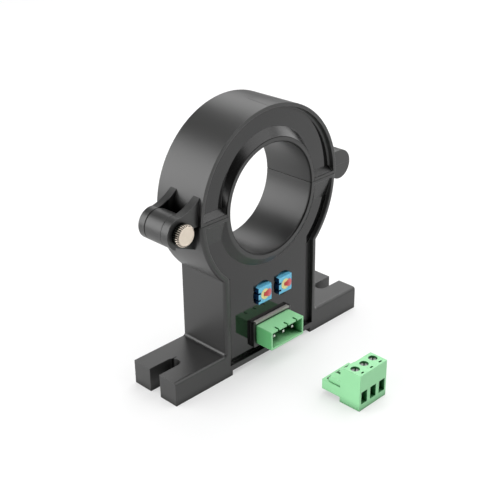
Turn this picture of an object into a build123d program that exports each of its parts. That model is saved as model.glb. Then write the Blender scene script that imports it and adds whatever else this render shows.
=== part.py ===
from build123d import *
import os
from math import acos, atan2, cos, sin, sqrt

# Split-core current transducer on slotted feet, with its plug-in terminal lying in front.
# Millimetres. +X along the feet, +Y to the back, +Z up.
# The origin is the centre of the four-sided foot print, on the mounting plane.

# Driving dimensions of the two housing halves
base_length = 102.0
base_depth = 23.2
foot_height = 9.8
neck_width = 51.0
pad_inner_edge = 22.2
relief_height = 2.1
neck_root_radius = 1.2
ring_radius = 36.0
centre_height = 66.5
ring_section = 14.6
collar_wall = 2.0
rim_wall = 2.2
lower_edge_round = 1.2
upper_lip = 1.4
face_wall = 1.8
lower_recess = 1.8
upper_recess = 2.4
seam_gap = 0.2
lower_end_wall = 1.3
upper_end_wall = 1.0
end_slope_rise = 2.1
end_slope_depth = 2.1
lower_slope_drop = 7.5
lower_slope_depth = 1.4
lower_flank_growth = 3.0
bore_round = 0.7
upper_cove = 1.0
flare_shift = 3.1
flare_growth = 0.5
resin_recess = 0.8
notch_width = 5.5
notch_end_from_centre = 39.4

# Driving dimensions of the lock and the hinge
lug_radius = 6.0
lug_reach = 8.0
lug_clearance = 0.1
gusset_rise = 10.5
gusset_hollow = 1.1
lock_front = -10.0
lock_front_knuckle = 3.5
lock_middle_knuckle = 8.5
lock_back_knuckle = 3.3
hinge_front = -7.0
hinge_front_knuckle = 3.2
hinge_middle_knuckle = 6.0
hinge_back_knuckle = 3.1
hinge_pin_radius = 1.5
hinge_pin_cover = 0.8
pin_chamfer = 0.25
running_clearance = 0.05
lock_shank_radius = 1.95
lock_head_radius = 4.1
lock_head_length = 2.6
lock_head_chamfer = 0.35
lock_tip_chamfer = 0.4
lock_slot_half_width = 2.5
lock_washer_thickness = 0.4
lock_washer_radius = 3.4
insert_radius = 3.0
insert_length = 7.0
lock_tip_setback = 0.6

# Driving dimensions of the core and the sensing elements
core_inner_gap = 0.9
core_outer_gap = 1.4
core_front = -6.0
core_back = 7.0
sensor_thickness = 1.6
sensor_width = 4.1
sensor_depth = 3.2
sensor_clearance = 0.1
ribbon_width = 1.8
ribbon_thickness = 0.6
ribbon_rise = 0.8
ribbon_foot_x = 14.0

# Driving dimensions of the circuit board and what it carries
board_width = 42.0
board_thickness = 1.6
board_front = -7.2
board_bottom = 7.2
board_core_gap = 1.9
lead_stub = 1.1
pole_pitch = 5.08
header_width = 18.2
header_height = 8.0
header_bottom = 8.3
header_mouth = -19.5
header_wall = 0.8
header_floor = 3.4
header_fit = 0.1
coding_notch = 0.9
coding_notch_depth = 2.2
header_corner = 0.35
frame_corner = 0.5
pin_size = 1.0
pin_setback = 2.0
boss_margin = 1.4
trimmer_width = 6.6
trimmer_height = 7.0
trimmer_front = -11.2
trimmer_from_board_top = 4.2
zero_trimmer_x = -3.8
span_trimmer_x = 7.6
trimmer_hole_radius = 5.0
rotor_radius = 1.9
rotor_depth = 1.0
rotor_proud = 0.25
rotor_slot_length = 2.6
rotor_slot_width = 0.6
rotor_arrow = 0.9
trimmer_corner = 0.4
trimmer_groove_width = 0.3
trimmer_groove_height = 1.2
trimmer_groove_length = 2.0
lead_radius = 0.3
lead_spread = 2.5
lead_drop = 2.2
chip_length = 5.0
chip_height = 4.0
chip_thickness = 1.6
chip_from_board_side = 9.0
chip_from_board_bottom = 8.8
chip_lead_pitch = 1.27
chip_lead_width = 0.45
chip_lead_length = 1.2
chip_lead_thickness = 0.6
capacitor_radius = 2.5
capacitor_height = 5.5
capacitor_edge = 0.4
capacitor_from_board_side = 8.0
capacitor_from_board_bottom = 5.3
capacitor_pitch = 7.0
resistor_width = 1.6
resistor_height = 3.0
resistor_thickness = 0.5
resistor_pitch = 3.0
resistor_from_board_side = 3.0
resistor_from_board_top = 5.2
resistor_count = 4

# Driving dimensions of the plug that lies in front
plug_front = -61.6
plug_body_length = 9.2
plug_height = 15.0
plug_shoulder = 1.6
plug_nose_length = 8.5
plug_nose_low = 2.0
plug_slab_height = 4.1
plug_rib_height = 2.0
plug_rib_width = 3.8
plug_rib_setback = 2.6
plug_rib_chamfer = 0.5
window_width = 3.3
window_bottom = 2.6
window_height = 5.1
test_slot_setback = 1.2
test_slot_width = 1.5
test_slot_length = 0.7
test_slot_depth = 1.2
screw_setback = 4.6
screw_head_radius = 1.6
screw_head_length = 1.8
screw_head_sink = 0.7
screw_shank_radius = 1.25
screw_drive = 0.5
screw_drive_depth = 0.8
screw_drive_angle = 35.0
shaft_clearance = 0.1
cage_width = 3.9
cage_depth = 5.0
cage_bottom = 2.0
cage_height = 8.3
cage_wall = 0.6
cage_plate = 1.0
cage_clearance = 0.05
contact_thickness = 0.5
contact_width = 2.4
contact_lip = 1.0
socket_clearance = 0.1
socket_mouth_clearance = 0.4

# Levels and planes that follow from them
aperture_radius = ring_radius - ring_section
front_y = -base_depth / 2
back_y = base_depth / 2
split_low = centre_height - seam_gap / 2
split_high = centre_height + seam_gap / 2
collar_radius = aperture_radius + collar_wall
inner_rim_radius = ring_radius - rim_wall
lug_x = ring_radius + lug_reach
lower_face = front_y + lower_recess
upper_face = front_y + upper_recess
lower_face_back = lower_face + face_wall
upper_face_back = upper_face + face_wall
lower_recess_end = split_low - lower_end_wall
upper_recess_end = split_high + upper_end_wall
lower_cavity_floor = relief_height + rim_wall
core_inner_radius = collar_radius + core_inner_gap
core_outer_radius = inner_rim_radius - core_outer_gap
core_middle_radius = (core_inner_radius + core_outer_radius) / 2
lower_core_top = lower_recess_end - sensor_thickness - sensor_clearance
upper_core_bottom = upper_recess_end
board_back = board_front + board_thickness
board_top = centre_height - core_outer_radius - board_core_gap
board_side = board_width / 2
trimmer_level = board_top - trimmer_from_board_top
chip_x = -board_side + chip_from_board_side
chip_level = board_bottom + chip_from_board_bottom
capacitor_x = board_side - capacitor_from_board_side
capacitor_low = board_bottom + capacitor_from_board_bottom
resistor_level = board_top - resistor_from_board_top
ribbon_back = core_front - sensor_clearance
notch_centre_x = notch_end_from_centre + notch_width / 2
pole_x = [-pole_pitch, 0.0, pole_pitch]
plug_width = len(pole_x) * pole_pitch
plug_back = plug_front + plug_body_length
plug_nose_end = plug_back + plug_nose_length
plug_slab_top = plug_nose_low + plug_slab_height
plug_rib_top = plug_slab_top + plug_rib_height
screw_y = plug_front + screw_setback
screw_head_bottom = plug_height - screw_head_sink - screw_head_length
window_top = window_bottom + window_height
contact_top = window_top + contact_thickness
cage_top = cage_bottom + cage_height
socket_level = (plug_nose_low + plug_rib_top) / 2

os.makedirs("parts", exist_ok=True)


def upright(y):
    """Plane across the aperture axis at depth y, seen from the front, with X right and Z up."""
    return Plane.XZ.offset(-y)


def finish(piece, name):
    """Label a finished piece and write it out."""
    piece.label = name
    export_step(piece, f"parts/{name}.step")


def tangent_point(side, rise):
    """Where a line from the ring, rise away from the split, touches the lug's outer flank."""
    ring_x = side * sqrt(ring_radius**2 - rise**2)
    across = ring_x - side * lug_x
    distance = sqrt(across**2 + rise**2)
    direction = atan2(rise, across)
    turn = side * acos(lug_radius / distance) * (-1 if rise > 0 else 1)
    angle = direction + turn
    return side * lug_x + lug_radius * cos(angle), centre_height + lug_radius * sin(angle)


def ring_point(side, rise, inset=0.0):
    """Point on the ring's outside, rise above (or below) the split, pushed inwards by inset."""
    reach = sqrt((ring_radius - inset) ** 2 - rise**2)
    return side * reach, centre_height + rise


def half_disc(radius, level, upper):
    """Half of a disc about the aperture axis, cut at the given level."""
    with BuildSketch() as half:
        with Locations((0, centre_height)):
            Circle(radius)
        with Locations((0, level)):
            edge = Align.MIN if upper else Align.MAX
            Rectangle(3 * radius, 2 * radius, align=(Align.CENTER, edge), mode=Mode.INTERSECT)
    return half.sketch


def lower_outline(y):
    """Front view of the lower half: half ring, neck and feet, without lugs."""
    with BuildSketch(upright(y)) as outline:
        add(half_disc(ring_radius, split_low, False))
        Rectangle(neck_width, split_low - lug_radius, align=(Align.CENTER, Align.MIN))
        Rectangle(base_length, foot_height, align=(Align.CENTER, Align.MIN))
        relief = 2 * pad_inner_edge
        Rectangle(relief, relief_height, align=(Align.CENTER, Align.MIN), mode=Mode.SUBTRACT)
        roots = outline.vertices().filter_by(
            lambda v: abs(abs(v.X) - neck_width / 2) < 0.01 and abs(v.Y - foot_height) < 0.01
        )
        fillet(roots, neck_root_radius)
    return outline.sketch


def lower_hollow(y):
    """Room inside the lower half's rim, round the collar."""
    with BuildSketch(upright(y)) as hollow:
        add(half_disc(inner_rim_radius, lower_recess_end, False))
        with Locations((0, lower_cavity_floor)):
            width = neck_width - 2 * rim_wall
            height = centre_height - lug_radius - lower_cavity_floor
            Rectangle(width, height, align=(Align.CENTER, Align.MIN))
        with Locations((0, centre_height)):
            Circle(collar_radius, mode=Mode.SUBTRACT)
    return hollow.sketch


def upper_outline(y):
    """Front view of the upper half: half ring, without lugs."""
    with BuildSketch(upright(y)) as outline:
        add(half_disc(ring_radius, split_high, True))
    return outline.sketch


def upper_hollow(y, wall=rim_wall):
    """Room inside the upper half's rim, round the collar."""
    with BuildSketch(upright(y)) as hollow:
        add(half_disc(ring_radius - wall, upper_recess_end, True))
        with Locations((0, centre_height)):
            Circle(collar_radius, mode=Mode.SUBTRACT)
    return hollow.sketch


def recess_ramp(hollow, floor, end, length, height):
    """Ramps on the floor of a front recess, rising to its two ends at the split."""
    with BuildPart() as ramp:
        with BuildSketch(Plane.YZ.offset(-ring_radius)):
            with BuildLine():
                Polyline((floor, end), (floor - height, end), (floor, end + length), close=True)
            make_face()
        extrude(amount=2 * ring_radius)
        extrude(hollow, amount=front_y - floor, mode=Mode.INTERSECT)
    return ramp.part


def upper_lug(y):
    """Knuckle of the upper half on the lock side, with the hollow gusset that carries it."""
    start = ring_point(-1, gusset_rise)
    end = tangent_point(-1, gusset_rise)
    inner = ring_point(-1, gusset_rise, inset=rim_wall / 2)
    foot = (-ring_radius + rim_wall / 2, split_high)
    with BuildSketch(upright(y)) as lug:
        with BuildLine():
            SagittaArc(start, end, gusset_hollow)
            Polyline(end, (-lug_x, centre_height), (-lug_x, split_high), foot, inner, start)
        make_face()
        with Locations((-lug_x, centre_height)):
            Circle(lug_radius)
    return lug.sketch


def lower_lug(y, side):
    """Knuckle of the lower half, with the straight gusset under it."""
    start = ring_point(side, -gusset_rise)
    end = tangent_point(side, -gusset_rise)
    inner = ring_point(side, -gusset_rise, inset=rim_wall / 2)
    foot = (side * (ring_radius - rim_wall / 2), split_low)
    with BuildSketch(upright(y)) as lug:
        with BuildLine():
            centre = (side * lug_x, centre_height)
            Polyline(start, end, centre, (side * lug_x, split_low), foot, inner, start)
        make_face()
        with Locations((side * lug_x, centre_height)):
            Circle(lug_radius)
    return lug.sketch


def hinge_lug(y):
    """Knuckle of the upper half on the hinge side, with its flat-topped web."""
    with BuildSketch(upright(y)) as lug:
        with Locations((ring_radius - rim_wall / 2, split_high)):
            Rectangle(lug_reach + rim_wall / 2, lug_radius - seam_gap / 2, align=(Align.MIN, Align.MIN))
        with Locations((lug_x, centre_height)):
            Circle(lug_radius)
    return lug.sketch


# Depths of the knuckles along the lock and hinge axes
lock_middle = lock_front + lock_front_knuckle
lock_back = lock_middle + lock_middle_knuckle
lock_end = lock_back + lock_back_knuckle
hinge_middle = hinge_front + hinge_front_knuckle
hinge_back = hinge_middle + hinge_middle_knuckle
hinge_end = hinge_back + hinge_back_knuckle
hinge_pin_front = hinge_front + hinge_pin_cover
header_back = board_front
pin_tip = header_mouth + pin_setback
header_centre = header_bottom + header_height / 2


# The lock insert is a brass bush, moulded into the lower half's lock knuckle.
with BuildPart() as lock_insert:
    with BuildSketch(upright(lock_middle + lug_clearance)):
        with Locations((-lug_x, centre_height)):
            Circle(insert_radius)
            Circle(lock_shank_radius + running_clearance, mode=Mode.SUBTRACT)
    extrude(amount=-insert_length)
finish(lock_insert.part, "lock_insert")

# The hinge pin is held fast in the lower half's hinge knuckle and ends flush at the back.
with BuildPart() as hinge_pin:
    with BuildSketch(upright(hinge_end)):
        with Locations((lug_x, centre_height)):
            Circle(hinge_pin_radius)
    extrude(amount=hinge_end - hinge_pin_front)
    chamfer(hinge_pin.edges().filter_by(GeomType.CIRCLE), pin_chamfer)
finish(hinge_pin.part, "hinge_pin")

# The lower core is the lower half of a cut magnetic ring.
with BuildPart() as lower_core:
    with BuildSketch(upright(core_back)):
        add(half_disc(core_outer_radius, lower_core_top, False))
        with Locations((0, centre_height)):
            Circle(core_inner_radius, mode=Mode.SUBTRACT)
    extrude(amount=core_back - core_front)
finish(lower_core.part, "lower_core")

# The upper core closes the ring when the upper half is shut.
with BuildPart() as upper_core:
    with BuildSketch(upright(core_back)):
        add(half_disc(core_outer_radius, upper_core_bottom, True))
        with Locations((0, centre_height)):
            Circle(core_inner_radius, mode=Mode.SUBTRACT)
    extrude(amount=core_back - core_front)
finish(upper_core.part, "upper_core")

# A field sensor sits on each end of the lower core, under the split.
# A flat three-way ribbon runs from each sensor, in front of the core, down to the board.
sensors = {}
ribbons = {}
for side_name, side in (("left", -1), ("right", 1)):
    with BuildPart() as sensor:
        with Locations((side * core_middle_radius, 0, lower_core_top)):
            sensor_align = (Align.CENTER, Align.CENTER, Align.MIN)
            Box(sensor_width, sensor_depth, sensor_thickness, align=sensor_align)
    sensors[side_name] = sensor.part
    finish(sensor.part, f"field_sensor_{side_name}")

    with BuildPart() as ribbon:
        with BuildSketch(upright(ribbon_back)):
            ribbon_top = lower_core_top + ribbon_rise
            add(half_disc(core_middle_radius + ribbon_width / 2, ribbon_top, False))
            with Locations((0, centre_height)):
                Circle(core_middle_radius - ribbon_width / 2, mode=Mode.SUBTRACT)
            with Locations((side * ribbon_foot_x, centre_height)):
                outward = Align.MIN if side > 0 else Align.MAX
                span = (4 * ring_radius, 4 * ring_radius)
                Rectangle(*span, align=(outward, Align.CENTER), mode=Mode.INTERSECT)
            with Locations((side * (ribbon_foot_x + ribbon_width / 2), board_top)):
                drop = sqrt(core_middle_radius**2 - ribbon_foot_x**2)
                length = centre_height - drop - board_top
                Rectangle(ribbon_width, length, align=(Align.CENTER, Align.MIN))
        extrude(amount=ribbon_thickness)
        with BuildSketch(upright(-sensor_depth / 2)):
            with Locations((side * core_middle_radius, lower_core_top)):
                Rectangle(ribbon_width, ribbon_rise, align=(Align.CENTER, Align.MIN))
        extrude(amount=-ribbon_back - sensor_depth / 2)
    ribbons[side_name] = ribbon.part
    finish(ribbon.part, f"sensor_ribbon_{side_name}")

# The terminal header is an open-mouthed green box with a coding notch above each pin.
with BuildPart() as terminal_header:
    with BuildSketch(upright(header_back)):
        with Locations((0, header_centre)):
            Rectangle(header_width, header_height)
    extrude(amount=header_back - header_mouth)
    with BuildSketch(upright(header_mouth)):
        with Locations((0, header_centre)):
            Rectangle(header_width - 2 * header_wall, header_height - 2 * header_wall)
    extrude(amount=-(header_back - header_mouth - header_floor), mode=Mode.SUBTRACT)
    with BuildSketch(upright(header_mouth)):
        with Locations(*[(x, header_bottom + header_height) for x in pole_x]):
            Rectangle(coding_notch, 2 * header_wall)
    extrude(amount=-coding_notch_depth, mode=Mode.SUBTRACT)
    with BuildSketch(upright(header_back)):
        with Locations(*[(x, header_centre) for x in pole_x]):
            Rectangle(pin_size, pin_size)
    extrude(amount=header_floor, mode=Mode.SUBTRACT)
    rims = terminal_header.edges().filter_by(Axis.Y).group_by(Axis.Z)
    corners = (rims[0] + rims[-1]).filter_by(lambda e: abs(e.center().X) > header_width / 2 - 0.1)
    fillet(corners, header_corner)
finish(terminal_header.part, "terminal_header")

# The three square header pins pass through the header's floor and the board.
with BuildPart() as header_pins:
    with BuildSketch(upright(board_back + lead_stub)):
        with Locations(*[(x, header_centre) for x in pole_x]):
            Rectangle(pin_size, pin_size)
    extrude(amount=board_back + lead_stub - pin_tip)
    chamfer(header_pins.faces().group_by(Axis.Y)[0].edges(), pin_chamfer)
finish(header_pins.part, "header_pins")

# Each trimmer is a square block with a round seat for its rotor, and three legs through the board.
trimmer_bodies = {}
trimmer_legs = {}
for trimmer_name, x in (("zero", zero_trimmer_x), ("span", span_trimmer_x)):
    with BuildPart() as trimmer:
        with BuildSketch(upright(board_front)):
            with Locations((x, trimmer_level)):
                Rectangle(trimmer_width, trimmer_height)
        extrude(amount=board_front - trimmer_front)
        fillet(trimmer.edges().filter_by(Axis.Y), trimmer_corner)
        with BuildSketch(upright(trimmer_front)):
            with Locations((x, trimmer_level)):
                Circle(rotor_radius + running_clearance)
        extrude(amount=-rotor_depth, mode=Mode.SUBTRACT)
        for leg_side in (-1, 1):
            with BuildSketch(upright(trimmer_front + rotor_depth)):
                groove_level = trimmer_level - trimmer_height / 4
                with Locations((x + leg_side * trimmer_width / 2, groove_level)):
                    Rectangle(2 * trimmer_groove_width, trimmer_groove_height)
            extrude(amount=-trimmer_groove_length, mode=Mode.SUBTRACT)
    trimmer_bodies[trimmer_name] = trimmer.part
    finish(trimmer.part, f"{trimmer_name}_trimmer")

    with BuildPart() as rotor:
        with BuildSketch(upright(trimmer_front + rotor_depth)):
            with Locations((x, trimmer_level)):
                Circle(rotor_radius)
        extrude(amount=rotor_depth + rotor_proud)
        with BuildSketch(upright(trimmer_front - rotor_proud)):
            with Locations((x, trimmer_level)):
                Rectangle(rotor_slot_length, rotor_slot_width)
                with Locations((rotor_arrow, 0)):
                    RegularPolygon(rotor_arrow, 3)
        extrude(amount=-rotor_slot_width, mode=Mode.SUBTRACT)
    finish(rotor.part, f"{trimmer_name}_trimmer_rotor")

    with BuildPart() as legs:
        with BuildSketch(upright(board_back + lead_stub)):
            with Locations((x, trimmer_level)):
                low_pair = [(-lead_spread, -lead_drop), (lead_spread, -lead_drop)]
                with Locations(*low_pair, (0, lead_spread)):
                    Circle(lead_radius)
        extrude(amount=board_thickness + lead_stub)
    trimmer_legs[trimmer_name] = legs.part
    finish(legs.part, f"{trimmer_name}_trimmer_legs")

# The circuit board stands upright behind the face, drilled for the pins and legs.
with BuildPart() as circuit_board:
    with BuildSketch(upright(board_back)):
        with Locations((0, board_bottom)):
            Rectangle(board_width, board_top - board_bottom, align=(Align.CENTER, Align.MIN))
    extrude(amount=board_thickness)
    add(header_pins.part, mode=Mode.SUBTRACT)
    for legs_part in trimmer_legs.values():
        add(legs_part, mode=Mode.SUBTRACT)
finish(circuit_board.part, "circuit_board")

# Behind the board sit the amplifier chip, two round capacitors and a row of small resistors.
with BuildPart() as amplifier_chip:
    on_board = (Align.CENTER, Align.MIN, Align.CENTER)
    with Locations((chip_x, board_back, chip_level)):
        Box(chip_length, chip_thickness, chip_height, align=on_board)
    for row in (-1, 1):
        with Locations((chip_x, board_back, chip_level + row * chip_height / 2)):
            with GridLocations(chip_lead_pitch, 0, 4, 1):
                lead = (chip_lead_width, chip_lead_thickness, chip_lead_length)
                Box(*lead, align=on_board)
finish(amplifier_chip.part, "amplifier_chip")

with BuildPart() as capacitors:
    with BuildSketch(upright(board_back)):
        with Locations((capacitor_x, capacitor_low), (capacitor_x, capacitor_low + capacitor_pitch)):
            Circle(capacitor_radius)
    extrude(amount=-capacitor_height)
    fillet(capacitors.faces().sort_by(Axis.Y)[-2:].edges(), capacitor_edge)
finish(capacitors.part, "capacitors")

with BuildPart() as resistors:
    for place in range(resistor_count):
        resistor_x = -board_side + resistor_from_board_side + place * resistor_pitch
        with Locations((resistor_x, board_back, resistor_level)):
            Box(resistor_width, resistor_thickness, resistor_height, align=on_board)
finish(resistors.part, "resistors")

# The lower housing is one moulding: half ring with collar, neck, slotted feet,
# a recessed face with the header's frame and two round trimmer holes,
# and the middle knuckles of the lock and the hinge. The face ramps up to the split,
# a soft flank leads from it to the collar, and the bore's front edge is rounded.
with BuildPart() as lower_housing:
    extrude(lower_outline(back_y), amount=base_depth)
    front_edges = lower_housing.faces().sort_by(Axis.Y)[0].edges()
    above_feet = front_edges.filter_by(
        lambda e: foot_height + neck_root_radius < e.center().Z < split_low - neck_root_radius
    )
    fillet(above_feet, lower_edge_round)
    recess = lower_hollow(front_y)
    extrude(recess, amount=-lower_recess, mode=Mode.SUBTRACT)
    ramp = (lower_recess_end, -lower_slope_drop, lower_slope_depth)
    add(recess_ramp(recess, lower_face, *ramp))
    with BuildSketch(upright(front_y)):
        with Locations((0, centre_height)):
            Circle(collar_radius)
    with BuildSketch(upright(lower_face)):
        with Locations((0, centre_height)):
            Circle(collar_radius + lower_flank_growth)
    loft()
    with BuildSketch(Plane.XY.offset(split_low)):
        Rectangle(2 * ring_radius, 2 * base_depth)
    extrude(amount=ring_radius, mode=Mode.SUBTRACT)
    extrude(lower_lug(lock_back - lug_clearance / 2, -1), amount=lock_middle_knuckle - lug_clearance)
    extrude(lower_lug(hinge_back - lug_clearance / 2, 1), amount=hinge_middle_knuckle - lug_clearance)
    with BuildSketch(upright(back_y)):
        with Locations((0, centre_height)):
            Circle(aperture_radius)
    extrude(amount=base_depth, mode=Mode.SUBTRACT)
    bore_edges = lower_housing.edges().filter_by(GeomType.CIRCLE).filter_by(
        lambda e: abs(e.radius - aperture_radius) < 0.01 and abs(e.center().Y - front_y) < 0.01
    )
    fillet(bore_edges, bore_round)
    extrude(lower_hollow(back_y), amount=back_y - lower_face_back, mode=Mode.SUBTRACT)
    with BuildSketch(Plane.XY):
        with Locations((notch_centre_x, 0), (-notch_centre_x, 0)):
            Circle(notch_width / 2)
        open_length = base_length / 2 - notch_centre_x
        with Locations((notch_centre_x + open_length / 2, 0), (-notch_centre_x - open_length / 2, 0)):
            Rectangle(open_length, notch_width)
    extrude(amount=foot_height, mode=Mode.SUBTRACT)
    with BuildSketch(upright(lower_face_back)):
        with Locations((0, header_centre)):
            frame_width = header_width + 2 * boss_margin
            frame_height = header_height + 2 * boss_margin
            RectangleRounded(frame_width, frame_height, frame_corner)
    extrude(amount=lower_face_back - front_y)
    with BuildSketch(upright(lower_face_back)):
        with Locations((0, header_centre)):
            Rectangle(header_width + 2 * header_fit, header_height + 2 * header_fit)
        with Locations((zero_trimmer_x, trimmer_level), (span_trimmer_x, trimmer_level)):
            Circle(trimmer_hole_radius)
    extrude(amount=lower_face_back - front_y, mode=Mode.SUBTRACT)
    with BuildSketch(upright(lock_middle)):
        with Locations((-lug_x, centre_height)):
            Circle(insert_radius)
    extrude(amount=-insert_length - lug_clearance, mode=Mode.SUBTRACT)
    with BuildSketch(upright(hinge_back)):
        with Locations((lug_x, centre_height)):
            Circle(hinge_pin_radius)
    extrude(amount=hinge_middle_knuckle, mode=Mode.SUBTRACT)
finish(lower_housing.part, "lower_housing")

# The lower resin fills the housing behind its face and bares only its back.
with BuildPart() as lower_resin:
    extrude(lower_hollow(back_y - resin_recess), amount=back_y - resin_recess - lower_face_back)
    for inner_piece in (lower_core.part, circuit_board.part, header_pins.part, terminal_header.part,
                        amplifier_chip.part, capacitors.part, resistors.part,
                        *sensors.values(), *ribbons.values(),
                        *trimmer_bodies.values(), *trimmer_legs.values()):
        add(inner_piece, mode=Mode.SUBTRACT)
finish(lower_resin.part, "lower_resin")

# The upper housing carries the outer knuckles. Its face is set deeper, the ends of its
# recess slope, and a crescent flare rises from the face to the collar at the crown.
with BuildPart() as upper_housing:
    extrude(upper_outline(back_y), amount=base_depth)
    extrude(upper_hollow(back_y), amount=back_y - upper_face_back, mode=Mode.SUBTRACT)
    recess = upper_hollow(front_y, upper_lip)
    extrude(recess, amount=-upper_recess, mode=Mode.SUBTRACT)
    cove_edges = upper_housing.edges().filter_by(GeomType.CIRCLE).filter_by(
        lambda e: abs(e.radius - ring_radius + upper_lip) < 0.01 and abs(e.center().Y - upper_face) < 0.01
    )
    fillet(cove_edges, upper_cove)
    add(recess_ramp(recess, upper_face, upper_recess_end, end_slope_rise, end_slope_depth))
    with BuildSketch(upright(front_y)):
        with Locations((0, centre_height)):
            Circle(collar_radius)
    with BuildSketch(upright(upper_face)):
        with Locations((0, centre_height + flare_shift)):
            Circle(collar_radius + flare_growth)
    loft()
    with BuildSketch(Plane.XY.offset(split_high)):
        Rectangle(2 * ring_radius, 2 * base_depth)
    extrude(amount=-ring_radius, mode=Mode.SUBTRACT)
    extrude(upper_lug(lock_end), amount=lock_back_knuckle - lug_clearance / 2)
    extrude(upper_lug(lock_middle - lug_clearance / 2), amount=lock_front_knuckle - lug_clearance / 2)
    extrude(hinge_lug(hinge_end), amount=hinge_back_knuckle - lug_clearance / 2)
    extrude(hinge_lug(hinge_middle - lug_clearance / 2), amount=hinge_front_knuckle - lug_clearance / 2)
    with BuildSketch(upright(back_y)):
        with Locations((0, centre_height)):
            Circle(aperture_radius)
    extrude(amount=base_depth, mode=Mode.SUBTRACT)
    bore_edges = upper_housing.edges().filter_by(GeomType.CIRCLE).filter_by(
        lambda e: abs(e.radius - aperture_radius) < 0.01 and abs(e.center().Y - front_y) < 0.01
    )
    fillet(bore_edges, bore_round)
    with BuildSketch(upright(lock_middle)):
        with Locations((-lug_x, centre_height)):
            Circle(lock_slot_half_width)
            Rectangle(2 * lock_slot_half_width, 2 * lug_radius, align=(Align.CENTER, Align.MAX))
    extrude(amount=lock_front_knuckle, mode=Mode.SUBTRACT)
    with BuildSketch(upright(hinge_end)):
        with Locations((lug_x, centre_height)):
            Circle(hinge_pin_radius + running_clearance)
    extrude(amount=hinge_end - hinge_pin_front + running_clearance, mode=Mode.SUBTRACT)
finish(upper_housing.part, "upper_housing")

# The upper resin seals the upper core in and bares only its back.
with BuildPart() as upper_resin:
    extrude(upper_hollow(back_y - resin_recess), amount=back_y - resin_recess - upper_face_back)
    add(upper_core.part, mode=Mode.SUBTRACT)
finish(upper_resin.part, "upper_resin")

# The lock washer stays between the screw's head and the front knuckle.
washer_back = lock_front - running_clearance
washer_front = washer_back - lock_washer_thickness
with BuildPart() as lock_washer:
    with BuildSketch(upright(washer_back)):
        with Locations((-lug_x, centre_height)):
            Circle(lock_washer_radius)
            Circle(lock_shank_radius + running_clearance, mode=Mode.SUBTRACT)
    extrude(amount=lock_washer_thickness)
finish(lock_washer.part, "lock_washer")

# The lock screw passes the front knuckle's slot and threads into the insert.
screw_end = lock_middle + insert_length - lock_tip_setback
with BuildPart() as lock_screw:
    with BuildSketch(upright(screw_end)):
        with Locations((-lug_x, centre_height)):
            Circle(lock_shank_radius)
    extrude(amount=screw_end - washer_front)
    chamfer(lock_screw.faces().sort_by(Axis.Y)[-1].edges(), lock_tip_chamfer)
    with BuildSketch(upright(washer_front)):
        with Locations((-lug_x, centre_height)):
            Circle(lock_head_radius)
    extrude(amount=lock_head_length)
    chamfer(lock_screw.faces().sort_by(Axis.Y)[0].edges(), lock_head_chamfer)
finish(lock_screw.part, "lock_screw")

# Each contact is a bar above the wire's way, a short drop and a square socket in the nose.
bar_back = plug_back - contact_lip
with BuildPart() as plug_contacts:
    for x in pole_x:
        with BuildSketch(upright(bar_back)):
            with Locations((x, window_top)):
                Rectangle(contact_width, contact_thickness, align=(Align.CENTER, Align.MIN))
        extrude(amount=bar_back - screw_y + cage_depth / 2)
        with BuildSketch(upright(bar_back + contact_thickness)):
            with Locations((x, contact_top)):
                drop = contact_top - socket_level + contact_width / 2
                Rectangle(contact_width, drop, align=(Align.CENTER, Align.MAX))
        extrude(amount=contact_thickness)
        with BuildSketch(upright(plug_nose_end - contact_lip)):
            with Locations((x, socket_level)):
                Rectangle(contact_width, contact_width)
                socket_bore = pin_size + 2 * socket_clearance
                Rectangle(socket_bore, socket_bore, mode=Mode.SUBTRACT)
        extrude(amount=plug_nose_end - contact_lip - bar_back - contact_thickness)
finish(plug_contacts.part, "plug_contacts")

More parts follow.
